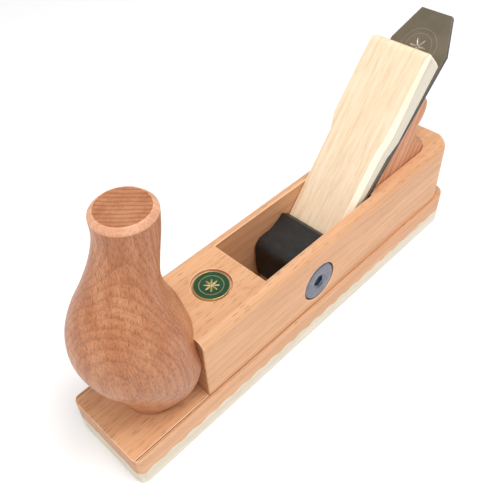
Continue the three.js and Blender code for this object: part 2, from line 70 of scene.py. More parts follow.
def merged_copy(node, closest=SAME_POINT):
    """A node's mesh as a bmesh of whole faces, with points nearer than the closest merged."""
    bm = bmesh.new()
    bm.from_mesh(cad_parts[node].data)
    bmesh.ops.remove_doubles(bm, verts=bm.verts, dist=SAME_POINT)
    bmesh.ops.dissolve_limit(bm, angle_limit=FLAT_ANGLE, verts=bm.verts, edges=bm.edges, delimit=set())
    bmesh.ops.remove_doubles(bm, verts=bm.verts, dist=closest)
    bmesh.ops.dissolve_degenerate(bm, edges=bm.edges, dist=SLIVER)
    bmesh.ops.dissolve_limit(bm, angle_limit=FLAT_ANGLE, verts=bm.verts, edges=bm.edges, delimit=set())
    return bm


def soften(bm, radius, edges=None, segments=2, least=LEAST_TURN, finish=0):
    """Rounds the given edges, or every edge that turns by more than the least angle."""
    if edges is None:
        edges = [e for e in bm.edges if e.is_manifold and e.calc_face_angle() > least]
    rounded = bmesh.ops.bevel(
        bm,
        geom=edges,
        offset=radius,
        offset_type="OFFSET",
        segments=segments,
        profile=0.5,
        affect="EDGES",
        clamp_overlap=False,
        material=-1,
    )
    for face in rounded["faces"]:
        face.material_index = finish


def temporary(bm, name):
    """A throwaway object that lets a modifier work on a bmesh."""
    mesh = bpy.data.meshes.new(name)
    bm.to_mesh(mesh)
    bm.free()
    holder = bpy.data.objects.new(name, mesh)
    bpy.context.scene.collection.objects.link(holder)
    return holder


def cut(bm, tool):
    """The solid that is left when the tool's solid is taken out of it."""
    work, cutter = temporary(bm, "work"), temporary(tool, "cutter")
    removal = work.modifiers.new("removal", "BOOLEAN")
    removal.operation = "DIFFERENCE"
    removal.solver = "EXACT"
    removal.object = cutter
    bpy.context.view_layer.update()
    left = work.evaluated_get(bpy.context.evaluated_depsgraph_get())
    result = bmesh.new()
    result.from_mesh(left.to_mesh())
    left.to_mesh_clear()
    for holder in (work, cutter):
        mesh = holder.data
        bpy.data.objects.remove(holder)
        bpy.data.meshes.remove(mesh)
    return result


def block(low, high):
    """A solid box between two corners, as a tool."""
    bm = bmesh.new()
    middle, size = (low + high) / 2, high - low
    place = Matrix.Translation(middle) @ Matrix.Diagonal((*size, 1))
    bmesh.ops.create_cube(bm, size=1, matrix=place)
    return bm


def rim_waste(low, high):
    """What comes off the heel's upper corners when their rim is rounded with the rest."""
    grown = Vector((RIM_FIT, RIM_FIT, RIM_FIT))
    kept = block(low - grown, high + Vector((HEEL_REACH * 2, RIM_FIT, RIM_FIT)))
    at_heel = [e for e in kept.edges if all(v.co.x < low.x for v in e.verts)]
    uprights = [e for e in at_heel if e.verts[0].co.z != e.verts[1].co.z]
    soften(kept, HEEL_RADIUS, uprights, segments=HEEL_STEPS)
    rim = [e for e in kept.edges if all(v.co.z > high.z for v in e.verts)]
    soften(kept, RIM_RADIUS, rim, segments=RIM_STEPS)
    waste_low = low - Vector((HEEL_REACH, HEEL_REACH, 0))
    waste_high = Vector((low.x, high.y, high.z)) + Vector((HEEL_REACH, HEEL_REACH, HEEL_REACH))
    return cut(block(waste_low, waste_high), kept)


def piece_from(bm, name, *materials, sharp=40, even=True):
    """A smooth-shaded piece in the scene, made from a bmesh, with flat faces kept flat."""
    mesh = bpy.data.meshes.new(name)
    bm.to_mesh(mesh)
    bm.free()
    mesh.shade_smooth()
    mesh.set_sharp_from_angle(angle=radians(sharp))
    for material in materials:
        mesh.materials.append(material)
    piece = bpy.data.objects.new(name, mesh)
    bpy.context.scene.collection.objects.link(piece)
    if even:
        piece.modifiers.new("even_normals", "WEIGHTED_NORMAL").keep_sharp = True
    return piece


def srgb(red, green, blue):
    """A colour as a paint chart gives it, 0 to 255, in the linear light that shaders take."""
    def linear(level):
        share = level / 255
        return share / 12.92 if share < 0.04045 else ((share + 0.055) / 1.055) ** 2.4
    return (linear(red), linear(green), linear(blue), 1.0)


def add(tree, kind, inputs=None, **settings):
    """A shader node; each of its inputs takes a constant or another node's socket."""
    made = tree.nodes.new("ShaderNode" + kind)
    for key, value in settings.items():
        setattr(made, key, value)
    for key, value in (inputs or {}).items():
        if isinstance(value, bpy.types.NodeSocket):
            tree.links.new(value, made.inputs[key])
        else:
            made.inputs[key].default_value = value
    return made


def sums(tree, operation, a, b=0.0):
    """One step of arithmetic on a value or on two."""
    return add(tree, "Math", {0: a, 1: b}, operation=operation).outputs[0]


def mixed(tree, share, a, b, blend="MIX"):
    """Two colours mixed by a share from 0 to 1."""
    inputs = {0: share, 6: a, 7: b}
    return add(tree, "Mix", inputs, data_type="RGBA", blend_type=blend).outputs[2]


def ranged(tree, value, low, high, out_low=0.0, out_high=1.0):
    """A value stretched from one range to another, smoothly, and held inside it."""
    inputs = {"Value": value, "From Min": low, "From Max": high, "To Min": out_low, "To Max": out_high}
    return add(tree, "MapRange", inputs, interpolation_type="SMOOTHSTEP").outputs[0]


def stretched(tree, coords, sizes):
    """Coordinates in which a block of the given sizes, in millimetres, measures one each way."""
    scale = [1 / (size * MM) for size in sizes]
    return add(tree, "Mapping", {"Vector": coords, "Scale": scale}).outputs[0]


def noise(tree, coords, sizes, detail=2.0, roughness=0.55):
    """Soft random variation whose patches have the given sizes in millimetres."""
    spread = stretched(tree, coords, sizes)
    inputs = {"Vector": spread, "Scale": 1.0, "Detail": detail, "Roughness": roughness}
    return add(tree, "TexNoise", inputs).outputs[0]


def shader(name):
    """A new material with its node tree and its surface shader."""
    material = bpy.data.materials.new(name)
    material.use_nodes = True
    tree = material.node_tree
    return material, tree, tree.nodes["Principled BSDF"]


def grain_turn(grain, rings_face):
    """The turn that lays the grain along x and faces the growth rings towards z."""
    along = Vector(grain).normalized()
    out = Vector(rings_face)
    out = (out - along * out.dot(along)).normalized()
    return Matrix((along, out.cross(along), out)).to_euler("XYZ")


def facing(tree, place, direction):
    """How squarely a surface faces a direction: 1 when it faces it, 0 when it lies along it."""
    inputs = {0: place.outputs["Normal"], 1: Vector(direction).normalized()}
    return add(tree, "VectorMath", inputs, operation="DOT_PRODUCT").outputs["Value"]


def wood(
    name, pale, ripe, dark, grain=(1, 0, 0), rings_face=(0, 0, 1), centre=(0, 0, 0), pith_depth=110,
    ring_width=3.4, ring_depth=0.3, fibre_depth=0.3, ray=(9, 0.85, 9), ray_share=0.55, ray_depth=0.6,
    ray_side=0.15, mottle_depth=0.0, mottle=(2.8, 0.7, 0.7), end_depth=0.45, end_rings=0.35, roughness=0.42,
    relief=0.1, wander_length=140, fibre_length=22, fibre_width=0.55,
):
    """Finished timber: growth rings, fibre streaks and the short dark rays that mark beech."""
    material, tree, surface = shader(name)
    place = add(tree, "TexCoord")
    from_centre = {0: place.outputs["Object"], 1: centre}
    spot = add(tree, "VectorMath", from_centre, operation="SUBTRACT").outputs[0]
    turn = grain_turn(grain, rings_face)
    coords = add(tree, "Mapping", {"Vector": spot, "Rotation": turn}).outputs[0]

    wander = noise(tree, coords, (wander_length, 22, 22), detail=2.0)
    from_pith = add(
        tree, "Mapping", {"Vector": coords, "Location": (0, 0, pith_depth * MM), "Scale": (0.02, 1, 1)}
    ).outputs[0]
    radius = add(tree, "VectorMath", {0: from_pith}, operation="LENGTH").outputs["Value"]
    bent = sums(tree, "ADD", radius, sums(tree, "MULTIPLY", wander, 2.2 * ring_width * MM))
    year = sums(tree, "FRACT", sums(tree, "DIVIDE", bent, ring_width * MM))
    late = sums(tree, "MULTIPLY", ranged(tree, year, 0.35, 0.93), ranged(tree, year, 1.0, 0.94))

    fibre = noise(tree, coords, (fibre_length, fibre_width, fibre_width), detail=4.0, roughness=0.62)
    broad = noise(tree, coords, (120, 7, 9), detail=3.0)
    cells = add(
        tree, "TexVoronoi", {"Vector": stretched(tree, coords, ray), "Scale": 1.0, "Randomness": 1.0}
    )
    lot = add(tree, "SeparateColor", {0: cells.outputs["Color"]}).outputs[0]
    chosen = sums(tree, "LESS_THAN", lot, ray_share)
    rays = sums(tree, "MULTIPLY", ranged(tree, cells.outputs["Distance"], 0.34, 0.16), chosen)
    flat_sawn = sums(tree, "ABSOLUTE", facing(tree, place, rings_face))
    rays = sums(tree, "MULTIPLY", rays, ranged(tree, flat_sawn, 0.35, 0.8, ray_side, 1.0))

    colour = mixed(tree, ranged(tree, broad, 0.3, 0.7), pale, ripe)
    end = ranged(tree, sums(tree, "ABSOLUTE", facing(tree, place, grain)), 0.72, 0.97)
    rings = sums(tree, "MULTIPLY", late, ranged(tree, end, 0, 1, ring_depth, end_rings))
    colour = mixed(tree, rings, colour, dark)
    streak = ranged(tree, fibre, 0.42, 0.7, 0.0, fibre_depth)
    colour = mixed(tree, streak, colour, dark)
    if mottle_depth:
        patches = noise(tree, coords, mottle, detail=3.0, roughness=0.65)
        off_end = ranged(tree, end, 0, 1, mottle_depth, 0.1)
        freckles = sums(tree, "MULTIPLY", ranged(tree, patches, 0.5, 0.62), off_end)
        colour = mixed(tree, freckles, colour, dark)
        colour = mixed(tree, ranged(tree, patches, 0.46, 0.36, 0.0, mottle_depth * 0.6), colour, pale)
    colour = mixed(tree, sums(tree, "MULTIPLY", rays, ray_depth), colour, dark)
    colour = mixed(tree, sums(tree, "MULTIPLY", end, end_depth), colour, dark)

    tree.links.new(colour, surface.inputs["Base Color"])
    matt = ranged(tree, fibre, 0.3, 0.7, roughness - 0.06, roughness + 0.1)
    tree.links.new(matt, surface.inputs["Roughness"])
    height = sums(tree, "SUBTRACT", fibre, sums(tree, "MULTIPLY", rays, 0.5))
    bump = add(tree, "Bump", {"Height": height, "Strength": 1.0, "Distance": relief * MM})
    tree.links.new(bump.outputs[0], surface.inputs["Normal"])
    surface.inputs["Specular IOR Level"].default_value = 0.4
    return material


steamed_beech = wood(
    "steamed_beech", srgb(230, 178, 134), srgb(220, 164, 120), srgb(152, 92, 58), rings_face=(0, 0.12, 1),
    pith_depth=200, ring_width=6, ring_depth=0.12, fibre_depth=0.26, ray=(8, 0.55, 3), ray_share=0.5,
    ray_depth=0.65,
)
# A paler copy of the beech for the rounded arrises: partly wear, partly a painted highlight along the
# edges.
beech_arris_wear_and_highlight = wood(
    "beech_arris_wear_and_highlight", srgb(246, 206, 168), srgb(238, 192, 150), srgb(176, 114, 76), rings_face=(0, 0.12, 1),
    pith_depth=200, ring_width=6, ring_depth=0.1, fibre_depth=0.2, ray=(8, 0.55, 3), ray_share=0.3,
    end_depth=0.2, roughness=0.36,
)
stock_low, stock_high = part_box("body_stock")
deck_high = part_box("front_horn")[0].z - FITTING_GAP
bm = merged_copy("body_stock")
for vert in bm.verts:
    if vert.co.z < JOINT_TOP:
        vert.co.z -= GLUE_LINE
bm = cut(bm, rim_waste(
    Vector((stock_low.x, stock_low.y + CHEEK_SETBACK, stock_high.z - RIM_DEPTH)),
    Vector((stock_low.x, stock_high.y - CHEEK_SETBACK, stock_high.z)),
))
groove_end = {
    v for v in bm.verts
    if abs(v.co.z - deck_high) < GROOVE_REACH and v.co.x < stock_low.x + HEEL_CURVE
}
arrises = [e for e in bm.edges if e.is_manifold and e.calc_face_angle() > LEAST_TURN]
# The rounded arrises take the paler copy, which paints a highlight on them as well as wear.
soften(bm, BODY_ARRIS, [e for e in arrises if groove_end.isdisjoint(e.verts)], finish=1)
body_stock = piece_from(bm, "beech_stock", steamed_beech, beech_arris_wear_and_highlight)
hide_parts("body_stock")
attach(body_stock, "stock")

# ---------- sole ----------
# A hard-wearing plate of hornbeam, paler than the stock, glued under it along a joint that is
# machined in shallow waves so that it can't creep.
SOLE_ARRIS = 0.35 * MM

sole_hornbeam = wood(
    "sole_hornbeam", srgb(236, 228, 212), srgb(228, 218, 198), srgb(184, 166, 138), rings_face=(0, 1, 0.3),
    ring_depth=0.16, ray=(5, 0.6, 5), ray_share=0.3, ray_depth=0.25, end_depth=0.3, roughness=0.5,
)
bm = merged_copy("sole")
soften(bm, SOLE_ARRIS)
sole = piece_from(bm, "hornbeam_sole", sole_hornbeam)
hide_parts("sole")
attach(sole, "stock")

# ---------- front horn ----------
# A bulb of reddish beech, turned and then carved to lean back over the step. It is glued to
# the deck over two dowels, and its top is sawn off square and chamfered by hand; the chamfer is
# paler, partly sanded end grain and partly a painted highlight.
HORN_SETBACK = 30 * MM  # the middle of its foot, behind the toe
HORN_HEIGHT = 110 * MM
HORN_STEP_REACH = 15 * MM  # from the middle of its foot back to the step
HORN_RADII = [14, 20.9, 24.8, 26.4, 26.4, 24.5, 20.3, 15.9, 13.6, 12.9, 13.2]  # at ten equal rises
HORN_LEAN = [0.2, -3.4, -2.8, 1.4, 3.9, 4.9, 5, 2.4, -1.7, -5, -5.8]
HORN_CHAMFER = 1.9 * MM
HORN_CHAMFER_ROUNDING = 0.5 * MM
HORN_FOOT_DROP = 0.27 * MM  # how far the foot comes down to meet the deck
HORN_REAR_NARROWING = 0.3
HORN_CARVING_TOP = 90 * MM  # above its foot, where the carving has run out
HORN_LEVELS = 72
HORN_STEPS = 112
HORN_FIT = 0.05 * MM  # all that shows between the horn and what it stands on
HORN_MARGIN = 0.1 * MM  # nearer to a level than this is at it
DOWEL_FIT = 0.3 * MM


def smooth_value(values, share):
    """The value at a share of the way along a list, on a smooth curve through all of them."""
    place = min(max(share, 0), 1) * (len(values) - 1)
    i = min(int(place), len(values) - 2)
    t = place - i
    before, a, b, after = (values[min(max(k, 0), len(values) - 1)] for k in (i - 1, i, i + 1, i + 2))
    v0, v1 = (b - before) / 2, (after - a) / 2
    return (2 * a - 2 * b + v0 + v1) * t**3 + (3 * b - 3 * a - 2 * v0 - v1) * t**2 + v0 * t + a


def turned(profile, steps=96):
    """A solid turned round the z axis from an outline of (radius, height) points."""
    bm = bmesh.new()
    verts = [bm.verts.new((radius, 0, height)) for radius, height in profile]
    edges = [bm.edges.new(pair) for pair in zip(verts, verts[1:])]
    bmesh.ops.spin(
        bm, geom=verts + edges, cent=(0, 0, 0), axis=(0, 0, 1), angle=2 * pi, steps=steps, use_merge=True
    )
    bmesh.ops.remove_doubles(bm, verts=bm.verts, dist=SAME_POINT)
    bmesh.ops.recalc_face_normals(bm, faces=bm.faces)
    return bm


horn_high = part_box("front_horn")[1]
horn_x = stock_high.x - HORN_SETBACK
deck_z = horn_high.z - HORN_HEIGHT
step_x = horn_x - HORN_STEP_REACH

horn_beech = wood(
    "horn_beech", srgb(206, 144, 104), srgb(180, 114, 74), srgb(114, 60, 32), grain=(0.05, 0, 1),
    rings_face=(0.75, 0.66, 0), centre=(horn_x, 0, deck_z), pith_depth=140, ring_width=2.2, ring_depth=0.22,
    fibre_depth=0.28, ray=(4, 0.6, 5), ray_share=0.5, ray_depth=0.5, mottle_depth=0.3,
    mottle=(2.2, 0.8, 0.8), end_depth=0.2, end_rings=0.45, roughness=0.38,
)
# A paler copy of the horn beech for the top chamfer: partly sanded end grain, partly a painted highlight
# where the chamfer catches the light.
horn_chamfer_sanded_and_highlit = wood(
    "horn_chamfer_sanded_and_highlit", srgb(228, 176, 144), srgb(212, 152, 116), srgb(160, 98, 68), grain=(0.05, 0, 1),
    rings_face=(0.75, 0.66, 0), centre=(horn_x, 0, deck_z), pith_depth=140, ring_width=2.9, ring_depth=0.1,
    fibre_depth=0.1, ray=(5, 0.9, 7), ray_share=0.3, ray_depth=0.3, mottle_depth=0.3, end_depth=0.0,
    roughness=0.42,
)
top_radius = HORN_RADII[-1] * MM - HORN_CHAMFER
shaft_height = HORN_HEIGHT - HORN_CHAMFER
profile = [(0, 0)]
for level in range(HORN_LEVELS + 1):
    height = shaft_height * level / HORN_LEVELS
    profile.append((smooth_value(HORN_RADII, height / HORN_HEIGHT) * MM, height))
profile += [(top_radius, HORN_HEIGHT), (0, HORN_HEIGHT)]
bm = turned(profile, HORN_STEPS)
for vert in bm.verts:
    share = vert.co.z / HORN_HEIGHT
    rear = max(0, -vert.co.x) / (smooth_value(HORN_RADII, share) * MM)
    carving = HORN_REAR_NARROWING * min(1, 2 * max(0, 1 - vert.co.z / HORN_CARVING_TOP))
    vert.co.y *= 1 - carving * rear**2
    vert.co.x += horn_x + smooth_value(HORN_LEAN, share) * MM
    vert.co.z += deck_z if share > 0 else deck_z - HORN_FOOT_DROP
chamfer_foot, top_z = deck_z + shaft_height, deck_z + HORN_HEIGHT
# The chamfer and its rounding take the paler copy, partly a painted highlight.
for face in bm.faces:
    face.material_index = int(chamfer_foot < face.calc_center_median().z < top_z - HORN_MARGIN)
rims = [
    e for e in bm.edges
    if e.calc_face_angle() > LEAST_TURN and e.verts[0].co.z > chamfer_foot - HORN_MARGIN
]
soften(bm, HORN_CHAMFER_ROUNDING, rims, segments=3, finish=1)
bm = cut(bm, block(
    Vector((stock_low.x, stock_low.y * 2, stock_low.z)),
    Vector((step_x + HORN_FIT, stock_high.y * 2, stock_high.z + HORN_FIT)),
))
for dowel in ("horn_dowel_rear", "horn_dowel_front"):
    low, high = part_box(dowel)
    bore = bmesh.new()
    place = Matrix.Translation(((low.x + high.x) / 2, 0, (low.z + high.z) / 2))
    bmesh.ops.create_cone(
        bore, cap_ends=True, segments=32, radius1=(high.x - low.x) / 2 + DOWEL_FIT,
        radius2=(high.x - low.x) / 2 + DOWEL_FIT, depth=high.z - low.z + 2 * DOWEL_FIT, matrix=place,
    )
    bm = cut(bm, bore)
front_horn = piece_from(bm, "turned_horn", horn_beech, horn_chamfer_sanded_and_highlit, sharp=35)
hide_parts("front_horn")
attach(front_horn, "stock")

# ---------- dowels ----------
# Plain beech pins, driven into the stock and into the foot of the horn and of the hand guard
# before these are glued down. Nothing shows of them once the plane is assembled.
dowel_beech = wood(
    "dowel_beech", srgb(226, 188, 142), srgb(212, 168, 122), srgb(160, 110, 72), grain=(0, 0, 1),
    rings_face=(1, 0, 0), ring_width=1.6, ray=(3, 0.5, 3), end_depth=0.5,
)
for dowel in ("horn_dowel_rear", "horn_dowel_front", "guard_dowel_left", "guard_dowel_right"):
    dowel_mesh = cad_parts[dowel].data
    dowel_mesh.materials.clear()
    dowel_mesh.materials.append(dowel_beech)

# ---------- hand guard ----------
# A block of reddish beech let into the top of the stock behind the iron. Its front face
# carries on the line of the bed, and its hollowed rear fits the web of the hand.
GUARD_ARRIS = 0.5 * MM

guard_beech = wood(
    "guard_beech", srgb(228, 166, 128), srgb(212, 146, 106), srgb(142, 82, 50), grain=(-0.5, 0, 0.87),
    rings_face=(1, 0.3, 0.5), ring_width=4.5, ring_depth=0.4, ray=(7, 0.9, 6), mottle_depth=0.15,
    end_depth=0.1, roughness=0.45,
)
bm = merged_copy("hand_guard")
soften(bm, GUARD_ARRIS, least=radians(40))
hand_guard = piece_from(bm, "beech_hand_guard", guard_beech)
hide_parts("hand_guard")
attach(hand_guard, "stock")

# ---------- badge ----------
# A thin pressed brass disc with a turned-up rim, gilt, and filled with green enamel round a
# raised rosette. It is glued into a round recess in the top of the stock.
RIM_WIDTH = 0.35 * MM
BADGE_ARRIS = 0.15 * MM
PAN_DEPTH = 0.3 * MM
ENAMEL_FIT = 0.02 * MM
ENAMEL_ARRIS = 0.08 * MM
PETALS = 8
PETAL_LENGTH = 1.8 * MM
PETAL_WIDTH = 0.5 * MM
PETAL_RISE = 0.12 * MM
EYE_RADIUS = 0.9 * MM
CIRCLET_RADIUS = 5.7 * MM
CIRCLET_WIDTH = 0.3 * MM
CIRCLET_SINK = 0.1 * MM
CIRCLET_RISE = 0.06 * MM


def metal(name, colour, roughness, worn, speck=1.4, metallic=1.0, relief=0.02):
    """Metal with faint clouding, fine scratches and a little unevenness in its shine."""
    material, tree, surface = shader(name)
    place = add(tree, "TexCoord").outputs["Object"]
    cloud = noise(tree, place, (9, 9, 9), detail=4.0, roughness=0.6)
    grit = noise(tree, place, (speck, speck, speck), detail=3.0, roughness=0.7)
    tint = mixed(tree, ranged(tree, cloud, 0.35, 0.7, 0.0, 0.55), colour, worn)
    tint = mixed(tree, ranged(tree, grit, 0.5, 0.72, 0.0, 0.35), tint, worn)
    tree.links.new(tint, surface.inputs["Base Color"])
    shine = ranged(tree, grit, 0.3, 0.7, roughness - 0.06, roughness + 0.08)
    tree.links.new(shine, surface.inputs["Roughness"])
    bump = add(tree, "Bump", {"Height": grit, "Strength": 1.0, "Distance": relief * MM})
    tree.links.new(bump.outputs[0], surface.inputs["Normal"])
    surface.inputs["Metallic"].default_value = metallic
    return material


def enamel(name, colour, deep):
    """Glossy vitreous enamel, a little deeper in tone in places, with a faint orange peel."""
    material, tree, surface = shader(name)
    place = add(tree, "TexCoord").outputs["Object"]
    depth = noise(tree, place, (4, 4, 4), detail=3.0)
    peel = noise(tree, place, (0.9, 0.9, 0.9), detail=1.0)
    tree.links.new(mixed(tree, ranged(tree, depth, 0.35, 0.7), colour, deep), surface.inputs["Base Color"])
    tree.links.new(ranged(tree, peel, 0.3, 0.7, 0.16, 0.26), surface.inputs["Roughness"])
    bump = add(tree, "Bump", {"Height": peel, "Strength": 1.0, "Distance": 0.015 * MM})
    tree.links.new(bump.outputs[0], surface.inputs["Normal"])
    surface.inputs["Coat Weight"].default_value = 0.4
    surface.inputs["Coat Roughness"].default_value = 0.08
    return material


def rosette(bm, middle, petals, reach, width, rise):
    """Flattened petals set round a middle point, lying in the xy plane."""
    for k in range(petals):
        turn = Matrix.Rotation(2 * pi * k / petals, 4, "Z")
        shape = Matrix.Translation((reach * 1.15, 0, 0)) @ Matrix.Diagonal((reach, width, rise, 1))
        bmesh.ops.create_uvsphere(
            bm, u_segments=20, v_segments=10, radius=1, matrix=Matrix.Translation(middle) @ turn @ shape
        )


gilt_brass = metal("gilt_brass", srgb(226, 206, 146), 0.34, srgb(190, 160, 98))
green_enamel = enamel("green_enamel", srgb(12, 72, 38), srgb(8, 58, 28))
plate_low, plate_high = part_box("badge_plate")
enamel_low, enamel_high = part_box("badge_enamel")
badge_middle = Vector(((plate_low.x + plate_high.x) / 2, 0, 0))
plate_radius = (plate_high.x - plate_low.x) / 2
pan_z = enamel_low.z - PAN_DEPTH
pan_radius = plate_radius - RIM_WIDTH
bm = turned([
    (0, plate_low.z), (plate_radius, plate_low.z), (plate_radius, plate_high.z),
    (pan_radius, plate_high.z), (pan_radius, pan_z), (0, pan_z),
])
soften(bm, BADGE_ARRIS)
bmesh.ops.translate(bm, verts=bm.verts, vec=badge_middle)
badge_plate = piece_from(bm, "badge_brass_plate", gilt_brass)
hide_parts("badge_plate")
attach(badge_plate, "stock")

enamel_radius = pan_radius - ENAMEL_FIT
bm = turned([(0, pan_z), (enamel_radius, pan_z), (enamel_radius, enamel_high.z), (0, enamel_high.z)])
soften(bm, ENAMEL_ARRIS)
bmesh.ops.translate(bm, verts=bm.verts, vec=badge_middle)
badge_enamel = piece_from(bm, "badge_green_enamel", green_enamel)
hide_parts("badge_enamel")
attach(badge_enamel, "stock")

rosette_middle = Vector((badge_middle.x, 0, enamel_high.z))
bm = bmesh.new()
rosette(bm, rosette_middle, PETALS, PETAL_LENGTH, PETAL_WIDTH, PETAL_RISE)
eye = Matrix.Translation(rosette_middle) @ Matrix.Diagonal((EYE_RADIUS, EYE_RADIUS, PETAL_RISE * 1.4, 1))
bmesh.ops.create_uvsphere(bm, u_segments=24, v_segments=12, radius=1, matrix=eye)
badge_rosette = piece_from(bm, "badge_rosette", gilt_brass, even=False)
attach(badge_rosette, "stock")

inner, outer = CIRCLET_RADIUS, CIRCLET_RADIUS + CIRCLET_WIDTH
under, over = enamel_high.z - CIRCLET_SINK, enamel_high.z + CIRCLET_RISE
bm = turned([(inner, under), (outer, under), (outer, over), (inner, over), (inner, under)])
bmesh.ops.translate(bm, verts=bm.verts, vec=badge_middle)
badge_circlet = piece_from(bm, "badge_circlet", gilt_brass)
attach(badge_circlet, "stock")

# ---------- plane iron ----------
# A forged and ground plate of tool steel, 33 mm wide, with its cutting edge ground to a curve.
# The faces are satin, the edges keep a dark skin, and a plain roundel is struck near the top.
BED_ANGLE = radians(45)
IRON_ARRIS = 0.2 * MM
ROUNDEL_UP_BED = 162 * MM
ROUNDEL_RADIUS = 9.7 * MM
ROUNDEL_DEPTH = 0.25 * MM
ROUNDEL_RING_GAP = 2.6 * MM
ROUNDEL_RING_WIDTH = 0.6 * MM
ROUNDEL_PETALS = 6
ROUNDEL_PETAL_LENGTH = 2.2 * MM
ROUNDEL_PETAL_WIDTH = 0.6 * MM
STRUCK_MARGIN = 1 * MM  # round the roundel
STRUCK_LEAST = 0.005 * MM  # faces sunk deeper than this are struck
IRON_FRONT = 3.3 * MM  # off the bed

iron_low, iron_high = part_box("plane_iron")
edge_down_bed = IRON_FRONT - iron_low.z / sin(BED_ANGLE)
bed_foot_x = iron_high.x - (edge_down_bed + IRON_FRONT) * cos(BED_ANGLE)
tool_steel = metal("tool_steel", srgb(132, 121, 102), 0.42, srgb(112, 102, 84), speck=0.8, metallic=0.75)
struck_steel = metal(
    "struck_steel", srgb(178, 170, 152), 0.34, srgb(150, 142, 124), speck=0.8, metallic=0.8
)
dark_skin = metal("dark_skin", srgb(40, 42, 48), 0.34, srgb(26, 26, 28), metallic=0.5)


def on_bed():
    """From the iron's own axes, x down the bed and z off it, to the plane's."""
    return Matrix.Translation((bed_foot_x, 0, 0)) @ Matrix.Rotation(BED_ANGLE, 4, "Y")


def groove(radius, width):
    """A ring-shaped tool that sinks into the front face of the iron."""
    top = IRON_FRONT + ROUNDEL_DEPTH
    floor = IRON_FRONT - ROUNDEL_DEPTH
    ring = turned([
        (radius, floor), (radius + width / 2, top), (radius - width / 2, top), (radius, floor),
    ])
    place = on_bed() @ Matrix.Translation((-ROUNDEL_UP_BED, 0, 0))
    bmesh.ops.transform(ring, matrix=place, verts=ring.verts)
    return ring


bm = merged_copy("plane_iron")
soften(bm, IRON_ARRIS, least=radians(40))
for radius in (ROUNDEL_RADIUS, ROUNDEL_RADIUS - ROUNDEL_RING_GAP):
    bm = cut(bm, groove(radius, ROUNDEL_RING_WIDTH))
petals = bmesh.new()
rosette(
    petals, Vector((0, 0, 0)), ROUNDEL_PETALS, ROUNDEL_PETAL_LENGTH, ROUNDEL_PETAL_WIDTH, ROUNDEL_DEPTH
)
place = on_bed() @ Matrix.Translation((-ROUNDEL_UP_BED, 0, IRON_FRONT))
place = place @ Matrix.Rotation(pi / ROUNDEL_PETALS, 4, "Z")
bmesh.ops.transform(petals, matrix=place, verts=petals.verts)
bm = cut(bm, petals)
off_bed = on_bed().to_3x3() @ Vector((0, 0, 1))
bm.normal_update()
roundel = on_bed() @ Vector((-ROUNDEL_UP_BED, 0, IRON_FRONT))
for face in bm.faces:
    away = face.calc_center_median() - roundel
    slope = face.normal.dot(off_bed)
    sunk = away.length < ROUNDEL_RADIUS + STRUCK_MARGIN and away.dot(off_bed) < -STRUCK_LEAST
    if sunk and slope > 0:
        face.material_index = 2
    else:
        face.material_index = int(abs(slope) < 0.3)
plane_iron = piece_from(bm, "steel_iron", tool_steel, dark_skin, struck_steel)
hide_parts("plane_iron")
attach(plane_iron, "iron")

# ---------- wedge ----------
# A tapered bar of pale hornbeam with a wider, shouldered head. The arrises of its front face
# are planed off, and it is driven down between the abutment and the iron.
WEDGE_ARRIS = 0.35 * MM
WEDGE_CLOSEST = 1 * MM  # points nearer than this are merged before the arrises are rounded

straight_grain = {
    "grain": (-cos(BED_ANGLE), 0, sin(BED_ANGLE)), "rings_face": (0, 1, 0.1), "pith_depth": 160,
    "ring_width": 4.2, "ring_depth": 0.1, "ray_share": 0.2, "ray_depth": 0.2, "relief": 0.03,
    "wander_length": 900, "fibre_length": 150, "fibre_width": 1.5,
}
# The front, the sides and the chamfers are three copies of one hornbeam: the greyer sides and the paler
# chamfers are painted light, set by which way each face turns.
wedge_hornbeam = wood(
    "wedge_hornbeam", srgb(242, 220, 190), srgb(238, 212, 178), srgb(200, 164, 118), fibre_depth=0.34,
    ray=(40, 0.5, 6), ray_side=0.4, end_depth=0.15, roughness=0.48, **straight_grain,
)
wedge_chamfer_painted_highlight = wood(
    "wedge_chamfer_painted_highlight", srgb(255, 244, 222), srgb(252, 238, 214), srgb(222, 196, 158), fibre_depth=0.2,
    ray=(30, 0.4, 6), end_depth=0.1, roughness=0.42, **straight_grain,
)
wedge_side_painted_light = wood(
    "wedge_side_painted_light", srgb(232, 224, 208), srgb(226, 216, 198), srgb(192, 176, 152), fibre_depth=0.26,
    ray=(30, 0.4, 6), end_depth=0.1, roughness=0.5, **straight_grain,
)
bm = merged_copy("wedge", closest=WEDGE_CLOSEST)
soften(bm, WEDGE_ARRIS)
bm.normal_update()
# Faces across the wedge take the greyer copy and the chamfers the paler one, as painted light.
for face in bm.faces:
    across = abs(face.normal.y)
    if across > 0.9:
        face.material_index = 1
    elif across > 0.3:
        face.material_index = 2
wedge = piece_from(bm, "hornbeam_wedge", wedge_hornbeam, wedge_side_painted_light, wedge_chamfer_painted_highlight)
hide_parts("wedge")
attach(wedge, "wedge")

# ---------- wedge abutment ----------
# A black moulded block that turns on the sleeve of the cross bolt, so that its lip and toe
# both bear on the wedge whatever the wedge's angle.
ABUTMENT_ARRIS = 0.5 * MM


def moulding(name, colour, dusty):
    """Black moulded plastic with a faint grain and a dusty bloom."""
    material, tree, surface = shader(name)
    place = add(tree, "TexCoord").outputs["Object"]
    bloom = noise(tree, place, (7, 7, 7), detail=4.0, roughness=0.6)
    grain = noise(tree, place, (0.7, 0.7, 0.7), detail=2.0)
    tree.links.new(mixed(tree, ranged(tree, bloom, 0.4, 0.75), colour, dusty), surface.inputs["Base Color"])
    tree.links.new(ranged(tree, bloom, 0.3, 0.7, 0.44, 0.6), surface.inputs["Roughness"])
    bump = add(tree, "Bump", {"Height": grain, "Strength": 1.0, "Distance": 0.05 * MM})
    tree.links.new(bump.outputs[0], surface.inputs["Normal"])
    return material


